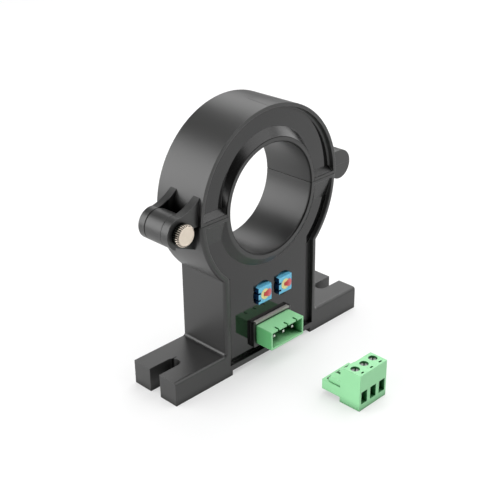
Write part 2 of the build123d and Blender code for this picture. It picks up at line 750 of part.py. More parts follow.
# The plug housing is one moulding: a tall clamp block, and a nose with three coding ribs.
with BuildPart() as plug_housing:
    with BuildSketch(Plane.YZ.offset(-plug_width / 2)):
        with BuildLine():
            Polyline(
                (plug_front, 0),
                (plug_back, 0),
                (plug_back, plug_nose_low),
                (plug_nose_end, plug_nose_low),
                (plug_nose_end, plug_slab_top),
                (plug_back, plug_slab_top),
                (plug_back, plug_height - plug_shoulder),
                (plug_back - plug_shoulder, plug_height),
                (plug_front, plug_height),
                close=True,
            )
        make_face()
    extrude(amount=plug_width)
    with BuildSketch(upright(bar_back)):
        with Locations(*[(x, plug_slab_top) for x in pole_x]):
            Rectangle(plug_rib_width, plug_rib_height, align=(Align.CENTER, Align.MIN))
    extrude(amount=-(plug_nose_length - plug_rib_setback + contact_lip))
    rib_faces = plug_housing.faces().filter_by(Axis.Y).group_by(Axis.Y)[-2]
    rib_fronts = rib_faces.edges().group_by(Axis.Z)[-1]
    chamfer(rib_fronts, plug_rib_chamfer)
    with BuildSketch(Plane.XY.offset(plug_height)):
        with Locations(*[(x, screw_y) for x in pole_x]):
            Circle(screw_head_radius + shaft_clearance)
    extrude(amount=screw_head_bottom - plug_height, mode=Mode.SUBTRACT)
    with BuildSketch(Plane.XY.offset(cage_bottom)):
        with Locations(*[(x, screw_y) for x in pole_x]):
            Rectangle(cage_width + 2 * cage_clearance, cage_depth + 2 * cage_clearance)
    extrude(amount=screw_head_bottom - cage_bottom, mode=Mode.SUBTRACT)
    with BuildSketch(upright(plug_front)):
        with Locations(*[(x, window_bottom) for x in pole_x]):
            Rectangle(window_width, window_height, align=(Align.CENTER, Align.MIN))
    extrude(amount=-screw_setback, mode=Mode.SUBTRACT)
    with BuildSketch(Plane.XY.offset(plug_height)):
        with Locations(*[(x, plug_front + test_slot_setback) for x in pole_x]):
            Rectangle(test_slot_width, test_slot_length)
    extrude(amount=-test_slot_depth, mode=Mode.SUBTRACT)
    with BuildSketch(upright(plug_nose_end)):
        with Locations(*[(x, socket_level) for x in pole_x]):
            socket_mouth = pin_size + 2 * socket_mouth_clearance
            Rectangle(socket_mouth, socket_mouth)
    extrude(amount=-contact_lip, mode=Mode.SUBTRACT)
    with BuildSketch(upright(plug_nose_end - contact_lip)):
        with Locations(*[(x, socket_level) for x in pole_x]):
            Rectangle(contact_width, contact_width)
    extrude(amount=plug_nose_end - bar_back - contact_lip - contact_thickness, mode=Mode.SUBTRACT)
    add(plug_contacts.part, mode=Mode.SUBTRACT)
finish(plug_housing.part, "plug_housing")

# In each pole a clamp screw stands on the contact bar and draws a wire cage up as it turns.
for number, x in enumerate(pole_x, start=1):
    with BuildPart() as plug_screw:
        with BuildSketch(Plane.XY.offset(contact_top)):
            with Locations((x, screw_y)):
                Circle(screw_shank_radius)
        extrude(amount=screw_head_bottom - contact_top)
        with BuildSketch(Plane.XY.offset(screw_head_bottom)):
            with Locations((x, screw_y)):
                Circle(screw_head_radius)
        extrude(amount=screw_head_length)
        with BuildSketch(Plane.XY.offset(screw_head_bottom + screw_head_length)):
            with Locations(Location((x, screw_y), screw_drive_angle)):
                Rectangle(2 * screw_head_radius, screw_drive)
        extrude(amount=-screw_drive_depth, mode=Mode.SUBTRACT)
    finish(plug_screw.part, f"plug_screw_{number}")

    with BuildPart() as plug_cage:
        with BuildSketch(upright(screw_y + cage_depth / 2)):
            with Locations((x, cage_bottom)):
                Rectangle(cage_width, cage_height, align=(Align.CENTER, Align.MIN))
            with Locations((x, cage_bottom + cage_wall)):
                inner_width = cage_width - 2 * cage_wall
                inner_height = cage_height - cage_wall - cage_plate
                inner_align = (Align.CENTER, Align.MIN)
                Rectangle(inner_width, inner_height, align=inner_align, mode=Mode.SUBTRACT)
        extrude(amount=cage_depth)
        with BuildSketch(Plane.XY.offset(cage_top)):
            with Locations((x, screw_y)):
                Circle(screw_shank_radius + running_clearance)
        extrude(amount=-cage_plate, mode=Mode.SUBTRACT)
    finish(plug_cage.part, f"plug_cage_{number}")
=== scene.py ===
import bmesh
import bpy
from math import cos, pi, radians, sin
from mathutils import Matrix, Vector


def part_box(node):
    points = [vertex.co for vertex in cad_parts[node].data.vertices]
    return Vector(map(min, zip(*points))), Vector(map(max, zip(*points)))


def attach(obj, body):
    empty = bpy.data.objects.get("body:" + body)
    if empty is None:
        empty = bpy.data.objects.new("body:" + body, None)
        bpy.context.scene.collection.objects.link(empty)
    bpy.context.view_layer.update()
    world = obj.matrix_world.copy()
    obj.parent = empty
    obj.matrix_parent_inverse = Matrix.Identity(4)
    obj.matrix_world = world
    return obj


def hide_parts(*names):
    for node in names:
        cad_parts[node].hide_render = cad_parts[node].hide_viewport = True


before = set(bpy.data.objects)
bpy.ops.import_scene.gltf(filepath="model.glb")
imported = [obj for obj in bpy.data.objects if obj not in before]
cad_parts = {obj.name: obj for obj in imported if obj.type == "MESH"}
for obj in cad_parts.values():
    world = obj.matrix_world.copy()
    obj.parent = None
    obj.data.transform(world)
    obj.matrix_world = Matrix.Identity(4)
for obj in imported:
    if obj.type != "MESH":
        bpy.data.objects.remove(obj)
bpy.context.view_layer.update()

MM = 0.001

# The camera stands high at the front left, as the photographer did, with a long lens.
# Its place, turn and lens were fitted to the product's edges in the photograph.
camera_place = Vector((-242.9, -241.4, 208.3)) * MM
camera_yaw = radians(45.0)
camera_pitch = radians(25.32)
camera_roll = radians(-0.74)
camera_lens = 70.85
camera_sensor = 36.0
camera_shift = (0.004, -0.022)
camera_nearest = 0.01
level_right = Vector((cos(camera_yaw), -sin(camera_yaw), 0.0))
looking = Vector((
    sin(camera_yaw) * cos(camera_pitch),
    cos(camera_yaw) * cos(camera_pitch),
    -sin(camera_pitch),
))
level_up = level_right.cross(looking)
camera_right = cos(camera_roll) * level_right + sin(camera_roll) * level_up
camera_up = cos(camera_roll) * level_up - sin(camera_roll) * level_right
camera = bpy.data.objects.new("camera", bpy.data.cameras.new("camera"))
camera.matrix_world = (
    Matrix.Translation(camera_place)
    @ Matrix((camera_right, camera_up, -looking)).transposed().to_4x4()
)
camera.data.lens = camera_lens
camera.data.sensor_width = camera_sensor
camera.data.shift_x, camera.data.shift_y = camera_shift
camera.data.clip_start = camera_nearest
bpy.context.scene.collection.objects.link(camera)
bpy.context.scene.camera = camera
bpy.context.scene.view_settings.view_transform = "Standard"

# The product stands on a white table top, as in a small product studio.
# Six large soft boxes stand round it: one overhead and five at the sides, none near the camera.
white = (1.0, 1.0, 1.0, 1.0)
floor_half = 3.0
floor_grey = (0.42, 0.42, 0.42, 1.0)
floor_roughness = 0.9
floor_glow = 0.45
room_glow = 0.02
floor_mesh = bmesh.new()
bmesh.ops.create_grid(floor_mesh, x_segments=1, y_segments=1, size=floor_half)
floor = bpy.data.objects.new("floor", bpy.data.meshes.new("floor"))
floor_mesh.to_mesh(floor.data)
floor_mesh.free()
floor_white = bpy.data.materials.new("floor_white")
floor_white.use_nodes = True
floor_paint = floor_white.node_tree.nodes["Principled BSDF"].inputs
floor_paint["Base Color"].default_value = floor_grey
floor_paint["Roughness"].default_value = floor_roughness
floor_paint["Emission Color"].default_value = white
floor_paint["Emission Strength"].default_value = floor_glow
floor.data.materials.append(floor_white)
bpy.context.scene.collection.objects.link(floor)

room = bpy.data.worlds.new("room")
room.use_nodes = True
room.node_tree.nodes["Background"].inputs["Color"].default_value = white
room.node_tree.nodes["Background"].inputs["Strength"].default_value = room_glow
bpy.context.scene.world = room
box_aim = Vector((0.0, 0.0, 0.05))
box_distance = 1.0


def soft_box(name, bearing, height, size, watts):
    """A square soft box, its bearing turned from the front towards the right, in degrees."""
    box = bpy.data.objects.new(name, bpy.data.lights.new(name, "AREA"))
    box.data.size = size
    box.data.energy = watts
    outward = Vector((
        sin(radians(bearing)) * cos(radians(height)),
        -cos(radians(bearing)) * cos(radians(height)),
        sin(radians(height)),
    ))
    box.location = box_aim + box_distance * outward
    box.rotation_mode = "QUATERNION"
    box.rotation_quaternion = outward.to_track_quat("Z", "Y")
    bpy.context.scene.collection.objects.link(box)


soft_box("overhead_box", bearing=90, height=80, size=1.2, watts=9.5)
soft_box("right_box", bearing=85, height=15, size=0.8, watts=6.0)
soft_box("front_right_box", bearing=30, height=30, size=0.8, watts=4.0)
soft_box("back_right_box", bearing=125, height=40, size=0.8, watts=4.0)
soft_box("back_left_box", bearing=220, height=18, size=0.8, watts=8.0)
soft_box("left_box", bearing=265, height=20, size=0.8, watts=6.0)

# The core is a ring of stacked silicon steel, cut in two and ground at the cuts.
# Its thin strips lie along the ring, so the cut faces show fine lines. It is set in resin.
grain_height = 0.02 * MM


class Shade:
    """A socket in a material's node tree, so that shader maths reads as plain sums."""

    def __init__(self, tree, socket=None):
        self.tree = tree
        self.socket = socket

    def feed(self, target, value):
        if isinstance(value, Shade):
            self.tree.links.new(value.socket, target)
        else:
            target.default_value = value

    def node(self, kind, settings=None, inputs=None, output=0):
        """Adds a node: its settings first, then the values or links of its sockets."""
        made = self.tree.nodes.new("ShaderNode" + kind)
        for name, value in (settings or {}).items():
            setattr(made, name, value)
        for name, value in (inputs or {}).items():
            self.feed(made.inputs[name], value)
        return Shade(self.tree, made.outputs[output])

    def math(self, operation, *values):
        return self.node("Math", {"operation": operation}, dict(enumerate(values)))

    def __add__(self, other):
        return self.math("ADD", self, other)

    def __sub__(self, other):
        return self.math("SUBTRACT", self, other)

    def __rsub__(self, other):
        return self.math("SUBTRACT", other, self)

    def __mul__(self, other):
        return self.math("MULTIPLY", self, other)

    __radd__ = __add__
    __rmul__ = __mul__

    def above(self, level, softness):
        """1 where the value is above level, 0 below, with a soft step between."""
        limits = {"From Min": level - softness, "From Max": level + softness}
        return self.node("MapRange", {"interpolation_type": "SMOOTHSTEP"}, {"Value": self, **limits})


def new_material(name):
    """A material with its principled shader, and a starting point for its nodes."""
    material = bpy.data.materials.new(name)
    material.use_nodes = True
    return material, Shade(material.node_tree), material.node_tree.nodes["Principled BSDF"].inputs


def place_of(start, centre=(0.0, 0.0, 0.0), stretch=(1.0, 1.0, 1.0)):
    """A point's place on the piece, measured from a centre and stretched for a pattern."""
    shift = [-middle * factor for middle, factor in zip(centre, stretch)]
    place = start.node("TexCoord", output="Object")
    return start.node("Mapping", {}, {"Vector": place, "Location": shift, "Scale": stretch})


def noise(start, scale, detail=2.0, stretch=(1.0, 1.0, 1.0)):
    """Soft spots of the given number per metre."""
    place = place_of(start, stretch=stretch)
    return start.node("TexNoise", {}, {"Vector": place, "Scale": scale, "Detail": detail})


def blend(start, factor, colour_a, colour_b):
    """A colour between two colours."""
    ends = {"Factor": factor, 6: colour_a, 7: colour_b}
    ends = {key: (*end, 1.0) if isinstance(end, tuple) else end for key, end in ends.items()}
    return start.node("Mix", {"data_type": "RGBA"}, ends, output=2)


def dress(material, *names):
    """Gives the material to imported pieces."""
    for name in names:
        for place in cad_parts[name].material_slots:
            place.material = material


def finish(name, spots, dark, light, smooth, rough, stretch=(1.0, 1.0, 1.0), metal=0.0, bump=0.0):
    """A finish that varies in soft spots, from dark and smooth to light and rough."""
    material, start, inputs = new_material(name)
    pattern = noise(start, spots, stretch=stretch)
    start.feed(inputs["Base Color"], blend(start, pattern, dark, light))
    start.feed(inputs["Roughness"], smooth + pattern * (rough - smooth))
    inputs["Metallic"].default_value = metal
    if bump:
        start.feed(inputs["Normal"], start.node("Bump", {}, {
            "Height": pattern, "Strength": bump, "Distance": grain_height,
        }))
    return material


core_steel = finish(
    "core_steel", spots=90.0, stretch=(1.0, 30.0, 1.0),
    dark=(0.30, 0.30, 0.31), light=(0.46, 0.46, 0.47), smooth=0.35, rough=0.60, metal=1.0,
)
dress(core_steel, "lower_core", "upper_core")

# Field sensors stand in the core's cuts. They, the chip and the resistors are encased in
# black epoxy, moulded with a fine matt grain.
epoxy_black = finish(
    "epoxy_black", spots=5000.0,
    dark=(0.012, 0.012, 0.013), light=(0.03, 0.03, 0.032), smooth=0.45, rough=0.65, bump=0.2,
)
dress(epoxy_black, "field_sensor_left", "field_sensor_right", "amplifier_chip", "resistors")

# Ribbons of joined leads run from the sensors down to the board. They are copper strands
# in soft grey insulation, and are soldered at both ends.
ribbon_grey = finish(
    "ribbon_grey", spots=400.0, stretch=(3.0, 1.0, 0.2),
    dark=(0.30, 0.30, 0.30), light=(0.42, 0.42, 0.43), smooth=0.4, rough=0.6,
)
dress(ribbon_grey, "sensor_ribbon_left", "sensor_ribbon_right")

# The circuit board stands behind the front wall, held by the resin. It is glass-filled resin
# under a green mask, through which the weave shows.
board_green = finish(
    "board_green", spots=1500.0, stretch=(1.0, 1.0, 0.3),
    dark=(0.010, 0.085, 0.035), light=(0.02, 0.13, 0.06), smooth=0.2, rough=0.35,
)
dress(board_green, "circuit_board")

# The capacitors' cans, the trimmers' legs and the header's square pins are bright tinned
# metal. The legs and pins go through the board and are soldered behind it.
tinned = finish(
    "tinned", spots=900.0,
    dark=(0.42, 0.44, 0.41), light=(0.56, 0.58, 0.54), smooth=0.18, rough=0.43, metal=1.0,
)
dress(tinned, "zero_trimmer_legs", "span_trimmer_legs", "header_pins", "capacitors")

# Two trimmers, zero and span, look out of the round holes. Each has a blue moulded block with
# two notches down its left side, where its halves are clipped, and a round seat for its rotor.
trimmer_seat_radius = 1.95 * MM
trimmer_seat_sides = 40
trimmer_seat_depth = 1.0 * MM
trimmer_notch_height = 0.8 * MM
trimmer_notch_depth = 1.2 * MM
trimmer_notch_drops = (0.36, 0.78)
trimmer_edge_round = 0.10 * MM
edge_round_steps = 3
sharp_from = radians(30.0)
trimmer_spread = 0.25 * MM
trimmer_top_skin = 0.2 * MM
trimmer_side_turn = -0.6
trimmer_front_dark = (0.11, 0.46, 0.68)
trimmer_front_light = (0.16, 0.54, 0.78)
trimmer_side_shade = (0.006, 0.035, 0.10)
to_front = Matrix.Rotation(pi / 2, 4, "X")


def pull(mesh, rim, forward=0.0, grow=1.0):
    """Draws a rim of edges out into a wall, and gives the wall's far rim."""
    drawn = bmesh.ops.extrude_edge_only(mesh, edges=rim)["geom"]
    points = [part for part in drawn if isinstance(part, bmesh.types.BMVert)]
    bmesh.ops.scale(mesh, vec=(grow, grow, 1.0), verts=points)
    bmesh.ops.translate(mesh, vec=(0.0, 0.0, forward), verts=points)
    return [edge for edge in mesh.edges if all(end in points for end in edge.verts)]


def circle(mesh, radius, segments, level=0.0):
    """A round rim about the axis, at a level along it."""
    at = Matrix.Translation((0.0, 0.0, level))
    made = bmesh.ops.create_circle(mesh, cap_ends=False, segments=segments, radius=radius, matrix=at)
    return [edge for edge in mesh.edges if all(end in made["verts"] for end in edge.verts)]


def outline(mesh, corners):
    """A closed rim through a few corners."""
    points = [mesh.verts.new((across, up, 0.0)) for across, up in corners]
    return [mesh.edges.new(pair) for pair in zip(points, points[1:] + points[:1])]


def fill(mesh, rim):
    """A flat face over a rim, or between an outer rim and a hole's."""
    bmesh.ops.triangle_fill(mesh, edges=rim, use_beauty=True)


def stand(mesh, name, centre, edge_round=0.0):
    """Turns a finished mesh to face the front, centres it there and makes it an object."""
    bmesh.ops.transform(mesh, matrix=Matrix.Translation(centre) @ to_front, verts=mesh.verts)
    bmesh.ops.recalc_face_normals(mesh, faces=mesh.faces)
    piece = bpy.data.objects.new(name, bpy.data.meshes.new(name))
    mesh.to_mesh(piece.data)
    mesh.free()
    piece.data.shade_smooth()
    piece.data.set_sharp_from_angle(angle=sharp_from)
    bpy.context.scene.collection.objects.link(piece)
    if edge_round:
        rounding = piece.modifiers.new("edge_round", "BEVEL")
        rounding.width = edge_round
        rounding.segments = edge_round_steps
        rounding.limit_method = "ANGLE"
    return piece


trimmer_blue, start, inputs = new_material("trimmer_blue")
tint = noise(start, 300.0)
front_blue = blend(start, tint, trimmer_front_dark, trimmer_front_light)
facing = start.node("SeparateXYZ", {}, {0: start.node("NewGeometry", output="Normal")}, output="Y")
level = start.node("SeparateXYZ", {}, {0: place_of(start)}, output="Z")
# The block's sides, below its top, are painted dark navy: painted shade.
under_top = 1.0 - level.above(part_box("zero_trimmer")[1][2] - trimmer_top_skin, 0.1 * MM)
side_shade = facing.above(trimmer_side_turn, 0.2) * under_top
start.feed(inputs["Base Color"], blend(start, side_shade, front_blue, trimmer_side_shade))
start.feed(inputs["Roughness"], 0.3 + tint * 0.15)
start.feed(inputs["Normal"], start.node("Bump", {}, {
    "Height": noise(start, 3500.0), "Strength": 0.1, "Distance": grain_height,
}))
for node_name in ("zero_trimmer", "span_trimmer"):
    low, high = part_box(node_name)
    half_width = (high[0] - low[0]) / 2 + trimmer_spread
    half_height = (high[2] - low[2]) / 2
    corners = [(half_width, half_height), (-half_width, half_height)]
    for drop in trimmer_notch_drops:
        notch_top = half_height * (1.0 - 2.0 * drop) + trimmer_notch_height / 2
        notch_end = trimmer_notch_depth - half_width
        corners += [(-half_width, notch_top), (notch_end, notch_top)]
        corners += [(x, notch_top - trimmer_notch_height) for x in (notch_end, -half_width)]
    corners += [(-half_width, -half_height), (half_width, -half_height)]
    block = bmesh.new()
    side_rim = outline(block, corners)
    seat_rim = circle(block, trimmer_seat_radius, trimmer_seat_sides)
    fill(block, side_rim + seat_rim)
    fill(block, pull(block, side_rim, low[1] - high[1]))
    fill(block, pull(block, seat_rim, -trimmer_seat_depth))
    middle = ((low[0] + high[0]) / 2, low[1], (low[2] + high[2]) / 2)
    piece = stand(block, node_name + "_block", middle, trimmer_edge_round)
    piece.data.materials.append(trimmer_blue)
    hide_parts(node_name)
    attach(piece, "transducer")

# Each rotor is cream nylon: a shaft in the block's seat, and a thin round head with a slot
# for the screwdriver. A red pointer is fixed on the head and shows how far it is turned.
rotor_sides = 48
rotor_shaft_radius = 1.9 * MM
rotor_head_radius = 2.2 * MM
rotor_head_gap = 0.03 * MM
rotor_head_edge = 0.04 * MM
rotor_slot = [(-0.65, 0.95), (-0.15, 0.95), (-0.15, -0.95), (-0.65, -0.95)]
rotor_slot_depth = 0.5 * MM
pointer_corners = [
    (-0.80, 0.45), (2.25, 1.70), (3.05, 1.15), (3.30, 0.05), (3.05, -1.20), (2.15, -1.80), (-0.80, -0.45),
]
pointer_thickness = 0.12 * MM
pointer_edge_round = 0.3 * pointer_thickness
pointer_dark_red = (0.48, 0.010, 0.008)
pointer_light_red = (0.56, 0.02, 0.02)
pointer_tip_red = (0.68, 0.13, 0.15)
pointer_tip_start = 1.7 * MM
pointer_tip_fade = 1.1 * MM
rotor_cream = finish(
    "rotor_cream", spots=600.0,
    dark=(0.72, 0.62, 0.22), light=(0.82, 0.74, 0.36), smooth=0.35, rough=0.50,
)
pointer_red, start, inputs = new_material("pointer_red")
tint = noise(start, 700.0)
reaches = []
for trim in ("zero", "span"):
    low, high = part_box(trim + "_trimmer_rotor")
    hub = [(near + far) / 2 for near, far in zip(low, high)]
    from_hub = place_of(start, centre=hub, stretch=(1.0, 0.0, 1.0))
    reaches.append(start.node("VectorMath", {"operation": "LENGTH"}, {0: from_hub}, output="Value"))
outer = reaches[0].math("MINIMUM", *reaches).above(pointer_tip_start, pointer_tip_fade)
red = blend(start, tint, pointer_dark_red, pointer_light_red)
start.feed(inputs["Base Color"], blend(start, outer, red, pointer_tip_red))
start.feed(inputs["Roughness"], 0.28 + tint * 0.15)
for trim in ("zero", "span"):
    low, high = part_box(trim + "_trimmer_rotor")
    middle = ((low[0] + high[0]) / 2, low[1] + pointer_thickness, (low[2] + high[2]) / 2)
    block_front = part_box(trim + "_trimmer")[0][1]
    head_thickness = block_front - middle[1] - rotor_head_gap
    rotor = bmesh.new()
    shaft_rim = circle(rotor, rotor_shaft_radius, rotor_sides, middle[1] - high[1])
    fill(rotor, shaft_rim)
    rim = pull(rotor, shaft_rim, high[1] - middle[1] - head_thickness)
    rim = pull(rotor, rim, grow=rotor_head_radius / rotor_shaft_radius)
    rim = pull(rotor, rim, head_thickness - rotor_head_edge)
    rim = pull(rotor, rim, rotor_head_edge, 1.0 - rotor_head_edge / rotor_head_radius)
    slot_rim = outline(rotor, [(MM * across, MM * up) for across, up in rotor_slot])
    fill(rotor, rim + slot_rim)
    fill(rotor, pull(rotor, slot_rim, -rotor_slot_depth))
    piece = stand(rotor, trim + "_slotted_rotor", middle)
    piece.data.materials.append(rotor_cream)
    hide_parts(trim + "_trimmer_rotor")
    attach(piece, trim + "_rotor")
    pointer = bmesh.new()
    rim = outline(pointer, [(MM * across, MM * up) for across, up in pointer_corners])
    fill(pointer, rim)
    fill(pointer, pull(pointer, rim, pointer_thickness))
    piece = stand(pointer, trim + "_pointer", middle, pointer_edge_round)
    piece.data.materials.append(pointer_red)
    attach(piece, trim + "_rotor")

# The housing halves are moulded in dark grey glass-filled plastic with a satin skin.
# Their recessed faces come off a polished part of the mould, so they mirror what stands near.
shell_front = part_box("lower_housing")[0][1]
ring_radius = 36.0 * MM
ring_centre = (0.0, 0.0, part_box("upper_housing")[1][2] - ring_radius)
lower_lip = 2.2 * MM
upper_lip = 1.4 * MM
lower_face_depth = 1.8 * MM
upper_face_depth = 2.4 * MM
lip_skin = 0.15 * MM
face_margin = 0.3 * MM
wall_reach = 0.6 * MM
lower_flare_roughness = 0.36
upper_flare_roughness = 0.26
face_roughness = 0.06
neck_inner_half = 21.0 * MM
neck_top = 40.0 * MM
skin_round = 0.35 * MM
shade_reach = 6.0 * MM
header_half = 9.3 * MM
header_frame_half = 10.6 * MM
header_frame_low = 6.8 * MM
header_frame_high = 17.8 * MM
header_frame_edge = 0.6 * MM
header_band_height = 0.9 * MM
header_band_depth = 1.4 * MM
bore_edge_radius = 22.3 * MM
bore_line_radius, bore_line_half = 21.72 * MM, 0.22 * MM
collar_foot_radius, collar_foot_half = 23.4 * MM, 0.14 * MM
wall_foot_inset, wall_foot_half = 0.1 * MM, 0.12 * MM
wall_foot_depth = 0.4 * MM
neck_foot_half = 0.1 * MM
lock_joint_depth, lock_joint_half = 2.0 * MM, 0.30 * MM
lock_joint_end = -38.5 * MM
crown_step_start = -0.45 * MM
crown_step_lean = 0.11
crown_step_front = -10.8 * MM
crown_step_fade = 3.0 * MM
crown_step_skin = 0.6 * MM
crown_step_height = 0.15 * MM
skin_dark, skin_light = (0.018, 0.018, 0.0178), (0.022, 0.022, 0.0216)
skin_edge_pale = (0.05, 0.05, 0.049)
face_black = (0.004, 0.004, 0.004)
shade_and_joint_black = (0.003, 0.003, 0.003)
header_band_highlight = (0.33, 0.32, 0.30)
flat_front_turn = -0.985
bevel_samples = 6
edge_turn, edge_softness = 0.05, 0.04
shade_samples = 8
pocket_shade, pocket_softness = 0.46, 0.2
cloud_spots = 45.0
grain_spots = 3200.0
satin_roughness = 0.36
plastic_refraction = 1.55
crisp, soft, softest = 0.05 * MM, 0.1 * MM, 0.5 * MM
line_softness = 0.06 * MM
crown_step_softness = 0.12 * MM


def rounded(start, radius):
    """The surface's normal as if every sharp edge had the given radius."""
    return start.node("Bevel", {"samples": bevel_samples}, {"Radius": radius})


def edge_mask(start, radius):
    """1 along sharp edges, 0 on open surface."""
    softened = rounded(start, radius)
    true = start.node("NewGeometry", output="Normal")
    alike = start.node("VectorMath", {"operation": "DOT_PRODUCT"}, {0: softened, 1: true}, output="Value")
    return (1.0 - alike).above(edge_turn, edge_softness)


def painted_shade_mask(start, reach):
    """1 deep in pockets and gaps, where shade falls, for painting shade there."""
    open_share = start.node("AmbientOcclusion", {"samples": shade_samples}, {"Distance": reach}, output="AO")
    return (1.0 - open_share).above(pocket_shade, pocket_softness)


def between(measure, low, high, softness):
    """1 where a measure lies between two values."""
    return measure.above(low, softness) * (1.0 - measure.above(high, softness))


def line_at(measure, value, half_width):
    """1 on a thin line, where a measure such as the distance from the bore's axis has a value."""
    return between(measure, value - half_width, value + half_width, line_softness)


def moulded_grey(ring_half, face_depth, lip, flare_roughness):
    """Satin dark grey, polished inside the recess that lies behind a lip of the given width."""
    material, start, inputs = new_material(ring_half + "_grey")
    recess_radius = ring_radius - lip
    place = place_of(start)
    across, depth, level = [start.node("SeparateXYZ", {}, {0: place}, output=axis) for axis in "XYZ"]
    from_axis = place_of(start, centre=ring_centre, stretch=(1.0, 0.0, 1.0))
    radius = start.node("VectorMath", {"operation": "LENGTH"}, {0: from_axis}, output="Value")
    off_middle = across.math("ABSOLUTE", across)
    facing = start.node("NewGeometry", output="Normal")
    facing_back = start.node("SeparateXYZ", {}, {0: facing}, output="Y")
    flat = 1.0 - facing_back.above(flat_front_turn, 0.01)

    # the recess: a polished face, between walls with the satin skin
    in_ring = 1.0 - radius.above(recess_radius + soft, soft)
    below_top = 1.0 - level.above(neck_top, soft)
    in_neck = (1.0 - off_middle.above(neck_inner_half, soft)) * below_top
    in_recess = depth.above(shell_front + lip_skin, crisp)
    in_recess = in_recess * (1.0 - depth.above(shell_front + face_depth + face_margin, soft))
    ring_wall = line_at(radius, recess_radius, wall_reach)
    neck_wall = line_at(off_middle, neck_inner_half, wall_reach) * below_top
    wall = ring_wall.math("MAXIMUM", ring_wall, neck_wall) * (1.0 - flat) * in_recess
    polished = in_ring.math("MAXIMUM", in_ring, in_neck) * in_recess
    polished = polished * radius.above(bore_edge_radius, soft) * (1.0 - wall)

    # the skin: cloudy, paler along sharp edges, and black in pockets as painted shade
    cloud = noise(start, cloud_spots, detail=3.0)
    grain = noise(start, grain_spots)
    pale_edge = edge_mask(start, skin_round)
    # painted shade: black where the surface is hemmed in, less on the recess walls
    painted_shade = painted_shade_mask(start, shade_reach) * (1.0 - wall * 0.9)
    skin = blend(start, cloud, skin_dark, skin_light)
    skin = blend(start, pale_edge * 0.4, skin, skin_edge_pale)
    skin = blend(start, polished, skin, face_black)
    skin = blend(start, painted_shade, skin, shade_and_joint_black)

    # the frame round the header, with a pale band above it: a painted highlight
    in_frame = 1.0 - off_middle.above(header_frame_half, crisp)
    in_frame = in_frame * between(level, header_frame_low, header_frame_high, crisp)
    inside = 1.0 - off_middle.above(header_frame_half - header_frame_edge, crisp)
    inside_low = header_frame_low + header_frame_edge
    inside = inside * between(level, inside_low, header_frame_high - header_frame_edge, crisp)
    frame_side = in_frame * (1.0 - inside) * (1.0 - flat)
    band_highlight = in_frame * (1.0 - depth.above(shell_front + header_band_depth, crisp))
    band_highlight = band_highlight * level.above(header_frame_high - header_band_height, crisp)
    band_highlight = band_highlight * (1.0 - off_middle.above(header_half, soft))
    skin = blend(start, band_highlight, skin, header_band_highlight)

    # painted shade as fine dark lines round the bore and at the walls' feet, and a dark joint line between
    # the lock's knuckles
    shade_and_joint_lines = line_at(radius, bore_line_radius, bore_line_half)
    if ring_half == "upper":
        shade_and_joint_lines = shade_and_joint_lines + line_at(radius, collar_foot_radius, collar_foot_half)
    shade_and_joint_lines = shade_and_joint_lines * (1.0 - depth.above(shell_front + face_depth, soft))
    wall_foot_shade = line_at(radius, recess_radius - wall_foot_inset, wall_foot_half) * (1.0 - in_neck)
    wall_foot_shade = wall_foot_shade.math("MAXIMUM", wall_foot_shade, line_at(off_middle, neck_inner_half, neck_foot_half) * in_neck)
    shade_and_joint_lines = shade_and_joint_lines + wall_foot_shade * flat * depth.above(shell_front + wall_foot_depth, soft)
    on_lock = 1.0 - across.above(lock_joint_end, softest)
    shade_and_joint_lines = shade_and_joint_lines + line_at(depth, lock_joint_depth, lock_joint_half) * on_lock
    start.feed(inputs["Base Color"], blend(start, shade_and_joint_lines * 0.85, skin, shade_and_joint_black))
    start.feed(inputs["Metallic"], shade_and_joint_lines.math("MAXIMUM", shade_and_joint_lines, painted_shade * (1.0 - frame_side)) * 0.8)

    # gloss and grain
    satin = satin_roughness + cloud * 0.03 + grain * 0.03 - pale_edge * 0.05
    mirror = flare_roughness + grain * 0.02 - flat * (flare_roughness - face_roughness)
    start.feed(inputs["Roughness"], satin * (1.0 - polished) + polished * mirror)
    inputs["IOR"].default_value = plastic_refraction
    surface = start.node("Bump", {}, {
        "Height": grain * (1.0 - polished * 0.85), "Strength": 0.05, "Distance": grain_height,
        "Normal": rounded(start, skin_round),
    })
    if ring_half == "upper":
        crown = (across - depth * crown_step_lean).above(crown_step_start, crown_step_softness)
        crown = crown * depth.above(crown_step_front, crown_step_softness)
        crown = crown * (1.0 - depth.above(0.0, crown_step_fade))
        crown = crown * level.above(ring_centre[2], soft) * radius.above(ring_radius - crown_step_skin, soft)
        surface = start.node("Bump", {}, {
            "Height": crown, "Strength": 1.0, "Distance": crown_step_height, "Normal": surface,
        })
    start.feed(inputs["Normal"], surface)
    return material


dress(moulded_grey("lower", lower_face_depth, lower_lip, lower_flare_roughness), "lower_housing")
dress(moulded_grey("upper", upper_face_depth, upper_lip, upper_flare_roughness), "upper_housing")

# Black casting resin fills both halves from the back, round the core and the board.
# It sets to a smooth, slightly wavy face.
resin_dark, resin_light = (0.008, 0.008, 0.009), (0.02, 0.02, 0.021)
resin_swell = 0.6 * MM
resin_black, start, inputs = new_material("resin_black")
swell = noise(start, 55.0, detail=1.0)
specks = noise(start, 1400.0)
start.feed(inputs["Base Color"], blend(start, specks, resin_dark, resin_light))
start.feed(inputs["Roughness"], 0.10 + specks * 0.10)
start.feed(inputs["Normal"], start.node("Bump", {}, {
    "Height": swell, "Strength": 0.5, "Distance": resin_swell,
}))
dress(resin_black, "lower_resin", "upper_resin")

# The hinge pin is ground steel, pressed into the lower half's knuckle.
# The upper half's knuckles turn on it.
pin_steel = finish(
    "pin_steel", spots=500.0, stretch=(1.0, 12.0, 1.0),
    dark=(0.42, 0.42, 0.43), light=(0.58, 0.58, 0.59), smooth=0.22, rough=0.42, metal=1.0,
)
dress(pin_steel, "hinge_pin")

